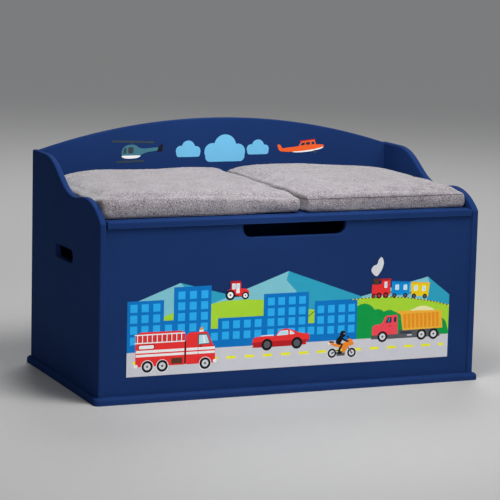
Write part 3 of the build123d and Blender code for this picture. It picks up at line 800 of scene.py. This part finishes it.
def remeshed(piece, voxel):
    """The piece as an even mesh."""
    remesh = piece.modifiers.new("remesh", "REMESH")
    remesh.mode = "VOXEL"
    remesh.voxel_size = voxel
    return baked(piece)


def places(piece):
    """The points of a piece's mesh as rows."""
    found = np.zeros(len(piece.data.vertices) * 3, np.float32)
    piece.data.vertices.foreach_get("co", found)
    return found.reshape(-1, 3)


def normals_of(piece):
    """The outward directions at a piece's points as rows."""
    found = np.zeros(len(piece.data.vertices) * 3, np.float32)
    piece.data.vertices.foreach_get("normal", found)
    return found.reshape(-1, 3)


def move_to(piece, points):
    """Puts the points of a piece's mesh at new places."""
    piece.data.vertices.foreach_set("co", points.astype(np.float32).ravel())
    piece.data.update()


def swollen(piece, pressure, cap):
    """Swells a piece as cloth under pressure; no point moves further than cap, or far inwards."""
    start = places(piece)
    outward = normals_of(piece)
    cloth = piece.modifiers.new("cloth", "CLOTH")
    cloth.settings.quality = 5
    cloth.settings.mass = 0.3
    cloth.settings.tension_stiffness = 12
    cloth.settings.compression_stiffness = 12
    cloth.settings.bending_stiffness = 0.4
    cloth.settings.use_pressure = True
    cloth.settings.uniform_pressure_force = pressure
    cloth.settings.effector_weights.gravity = 0
    cloth.point_cache.frame_start = 1
    cloth.point_cache.frame_end = CLOTH_FRAMES
    for number in range(1, CLOTH_FRAMES + 1):
        bpy.context.scene.frame_set(number)
    baked(piece)
    moved = places(piece) - start
    inward = np.minimum(0.0, np.sum(moved * outward, axis=1, keepdims=True))
    moved -= outward * inward * INWARD_HELD
    far = np.linalg.norm(moved, axis=1, keepdims=True)
    move_to(piece, start + moved * np.minimum(1.0, cap / np.maximum(far, 1e-9)))
    bpy.context.scene.frame_set(1)
    return piece


def subdivided(piece):
    """The piece with one subdivision."""
    piece.modifiers.new("smooth", "SUBSURF").levels = 1
    return baked(piece)


def soften(piece, cover, side, seed):
    """Adds slow folds and tufts, and keeps the foot on the lid and the sides in their room."""
    low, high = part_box(cover)
    points = places(piece).astype(np.float64)
    normals = normals_of(piece)
    shift = Vector((seed * 7.3, seed * 3.1, 0.0))
    for index, (x, y, z) in enumerate(points):
        here = Vector((x, y, z))
        fold = noise.noise(Vector((x * 7, y * 17, z * 12)) + shift)
        crease = 1 - abs(noise.noise(Vector((x * 5 + y * 4, y * 13, z * 9)) + shift * 2)) * 2
        tuft = noise.noise(here * 160 + shift)
        rise = FOLD_RISE * fold + CREASE_RISE * crease + TUFT_RISE * tuft
        points[index] += normals[index] * rise
    points[:, 2] = np.maximum(points[:, 2], low.z)
    points[:, 0] = np.clip(points[:, 0], low.x - CUSHION_ROOM, high.x + CUSHION_ROOM)
    points[:, 1] = np.clip(points[:, 1], low.y - CUSHION_ROOM, high.y + CUSHION_ROOM)
    inner_front = high.x if side < 0 else low.x + SPLIT_SHIFT
    split = inner_front - SPLIT_SHIFT * (points[:, 1] - low.y) / (high.y - low.y)
    points[:, 0] = np.minimum(points[:, 0], split) if side < 0 else np.maximum(points[:, 0], split)
    move_to(piece, points)
    for face in piece.data.polygons:
        face.use_smooth = True
    return piece


def seam_path(piece, cover, side, seam_height):
    """Points just under the cushion's surface, round its sides at a height."""
    middle, ring = cushion_ring(cover, side)
    low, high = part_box(cover)
    tree = BVHTree.FromObject(piece, bpy.context.evaluated_depsgraph_get())
    path = []
    for point in even_ring(ring, SEAM_SPACING):
        across = (point.x - low.x) / (high.x - low.x)
        level = low.z + seam_height[0] + (seam_height[1] - seam_height[0]) * across
        inward = middle - point
        way = Vector((inward.x**3, inward.y**3, 0.0)).normalized()
        start = Vector((point.x, point.y, level)) - way * 0.04
        hit = tree.ray_cast(start, way)[0]
        if hit is not None:
            path.append(hit + way * SEAM_DEPTH)
    return path


def tube(name, path, radius, sides=6):
    """A closed tube along a ring of points."""
    mesh = bmesh.new()
    loops = []
    for index, point in enumerate(path):
        ahead = (path[(index + 1) % len(path)] - path[index - 1]).normalized()
        across = ahead.cross(Vector((0, 0, 1))).normalized()
        up = across.cross(ahead)
        loop = []
        for step in range(sides):
            turn = 2 * math.pi * step / sides
            offset = (across * math.cos(turn) + up * math.sin(turn)) * radius
            loop.append(mesh.verts.new(point + offset))
        loops.append(loop)
    for index, loop in enumerate(loops):
        after = loops[(index + 1) % len(loops)]
        for step in range(sides):
            turn = (step + 1) % sides
            mesh.faces.new([loop[step], loop[turn], after[turn], after[step]])
    return make_object(name, mesh)


def make_cushion(name, side, corner_heights, crown, peak_shift, seam_height, seed):
    """A plush cushion with the seam round its upper edge, in the place of its cover and foam."""
    cover = f"{name}_cover"
    low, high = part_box(cover)
    peak = Vector(((low.x + high.x) / 2 + peak_shift[0], (low.y + high.y) / 2 + peak_shift[1]))
    piece = cushion_shell(f"{name}_plush", cover, side, corner_heights, crown, peak)
    remeshed(piece, VOXEL)
    swollen(piece, CLOTH_PRESSURE, CUSHION_SWELL)
    subdivided(piece)
    soften(piece, cover, side, seed)
    piece.data.materials.clear()
    piece.data.materials.append(FINISHES["grey_plush"])
    seam = tube(f"{name}_seam", seam_path(piece, cover, side, seam_height), SEAM_RADIUS)
    seam.data.materials.append(seam_thread())
    for made in (piece, seam):
        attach(made, "lid")
    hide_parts(cover, f"{name}_foam")


def seam_thread():
    """Dark thread sunk in the pile."""
    shader = Shader("seam_thread")
    twist = shader.noise(700.0)
    colour = shader.mixed(twist, linear(SEAM_DARK), linear(SEAM_PALE))
    return shader.finish(colour, shader.ranged(twist, 0.85, 1.0), twist, 0.4, 0.0005)


# ------------------------------------------------------------------- the scene


def finish_nodes():
    """Gives every CAD node the material of its slot."""
    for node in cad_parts.values():
        for place in node.material_slots:
            place.material = FINISHES[place.material.name.split(".")[0]]


def make_pictures():
    """The printed stickers: the town on the front, and the aircraft on the backrest."""
    low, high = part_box("front_mural")
    origin = Vector(((low.x + high.x) / 2, high.y, low.z))
    scenery = backdrop() + windows() + road_marks() + railway()
    town = printed("town_print", origin, scenery)
    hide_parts("front_mural")
    pieces = [town]
    subjects = {
        "fire_engine_print": fire_engine(),
        "car_print": car(),
        "motorcycle_print": motorcycle(),
        "dump_truck_print": dump_truck(),
        "train_print": train(),
        "tractor_print": tractor(),
        "smoke_print": smoke_puff(),
    }
    for name, layers in subjects.items():
        pieces.append(printed(name, origin, layers, base=max(levels(scenery)) + 1))
    for piece in pieces:
        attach(piece, "case")
    for node, layers in (("helicopter_sticker", helicopter()), ("aeroplane_sticker", aeroplane())):
        low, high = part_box(node)
        origin = Vector(((low.x + high.x) / 2, high.y, (low.z + high.z) / 2))
        piece = printed(node.replace("sticker", "print"), origin, fitted(layers, low, high))
        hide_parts(node)
        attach(piece, "case")


def make_floor():
    """A plain pale floor."""
    mesh = bmesh.new()
    bmesh.ops.create_grid(mesh, x_segments=8, y_segments=8, size=FLOOR_REACH)
    floor = make_object("floor", mesh)
    shader = Shader("floor")
    speckle = shader.noise(30.0, 4.0)
    colour = shader.mixed(speckle, linear(FLOOR_DARK), linear(FLOOR_PALE))
    floor.data.materials.append(shader.finish(colour, shader.ranged(speckle, 0.6, 0.7)))


def area_light(name, place, target, size, energy):
    """A soft square light aimed at a point."""
    light = bpy.data.lights.new(name, "AREA")
    light.shape = "SQUARE"
    light.size = size
    light.energy = energy
    lamp = bpy.data.objects.new(name, light)
    bpy.context.scene.collection.objects.link(lamp)
    lamp.location = place
    lamp.rotation_mode = "QUATERNION"
    lamp.rotation_quaternion = (Vector(target) - Vector(place)).to_track_quat("-Z", "Y")


def make_lights():
    """A soft sun from the front right, lights in front, above and behind, and a pale surrounding."""
    sun = bpy.data.lights.new("key", "SUN")
    sun.energy = 1.1
    sun.angle = math.radians(28)
    lamp = bpy.data.objects.new("key", sun)
    bpy.context.scene.collection.objects.link(lamp)
    lamp.rotation_mode = "QUATERNION"
    lamp.rotation_quaternion = Vector((-1.7, 2.2, -3.6)).to_track_quat("-Z", "Y")
    area_light("front", (-0.9, -4.6, 1.8), (0.0, 0.0, 0.3), 2.0, 43.0)
    area_light("top", (-0.1, -0.5, 1.35), (0.25, 0.1, 0.45), 0.5, 11.2)
    area_light("back", (1.4, 3.0, 3.6), (0.0, 0.2, 0.3), 2.4, 80.0)
    world = bpy.data.worlds.new("studio")
    world.use_nodes = True
    world.node_tree.nodes["Background"].inputs["Color"].default_value = linear(SURROUNDING)
    world.node_tree.nodes["Background"].inputs["Strength"].default_value = 0.16
    bpy.context.scene.world = world
    bpy.context.scene.view_settings.view_transform = "Standard"


def make_camera():
    """A long lens from the front left, a little above the box."""
    level = math.cos(CAMERA_DROP)
    ahead, aside = math.cos(CAMERA_TURN), math.sin(CAMERA_TURN)
    forward = Vector((aside * level, ahead * level, -math.sin(CAMERA_DROP)))
    right = Vector((ahead, -aside, 0.0))
    up = right.cross(forward)
    camera_up = up * math.cos(CAMERA_ROLL) - right * math.sin(CAMERA_ROLL)
    camera_right = forward.cross(camera_up)
    data = bpy.data.cameras.new("camera")
    data.lens = CAMERA_LENS
    data.sensor_width = SENSOR_WIDTH
    camera = bpy.data.objects.new("camera", data)
    bpy.context.scene.collection.objects.link(camera)
    turned = Matrix((camera_right, camera_up, -forward)).transposed().to_4x4()
    camera.matrix_world = Matrix.Translation(CAMERA_PLACE) @ turned
    bpy.context.scene.camera = camera


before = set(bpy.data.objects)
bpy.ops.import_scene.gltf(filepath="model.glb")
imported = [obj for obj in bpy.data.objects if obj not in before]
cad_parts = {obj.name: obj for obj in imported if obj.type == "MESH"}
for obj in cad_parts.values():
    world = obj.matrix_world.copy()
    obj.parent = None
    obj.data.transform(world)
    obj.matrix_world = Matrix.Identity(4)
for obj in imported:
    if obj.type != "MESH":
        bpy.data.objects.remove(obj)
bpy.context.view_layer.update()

FINISHES = {
    "navy_paint": navy_paint(),
    "beech": beech(),
    "zinc_steel": steel("zinc_steel", (196, 200, 204), 0.3),
    "cam_metal": steel("cam_metal", (170, 170, 172), 0.45),
    "hinge_steel": steel("hinge_steel", (190, 192, 196), 0.28),
    "bumper_rubber": rubber(),
    "grey_plush": plush(),
    "foam": foam(),
    "hook_and_loop": hook_and_loop(),
    "mural_film": ink("tower"),
    "sticker_film": ink("sky"),
}

finish_nodes()
make_cushion("left_cushion", -1, (0.046, 0.030, 0.053, 0.056), 0.013, (-0.03, 0.03), (0.004, 0.004), 1)
make_cushion("right_cushion", 1, (0.036, 0.032, 0.036, 0.054), 0.022, (-0.03, 0.05), (0.030, 0.029), 2)
make_pictures()
make_floor()
make_lights()
make_camera()
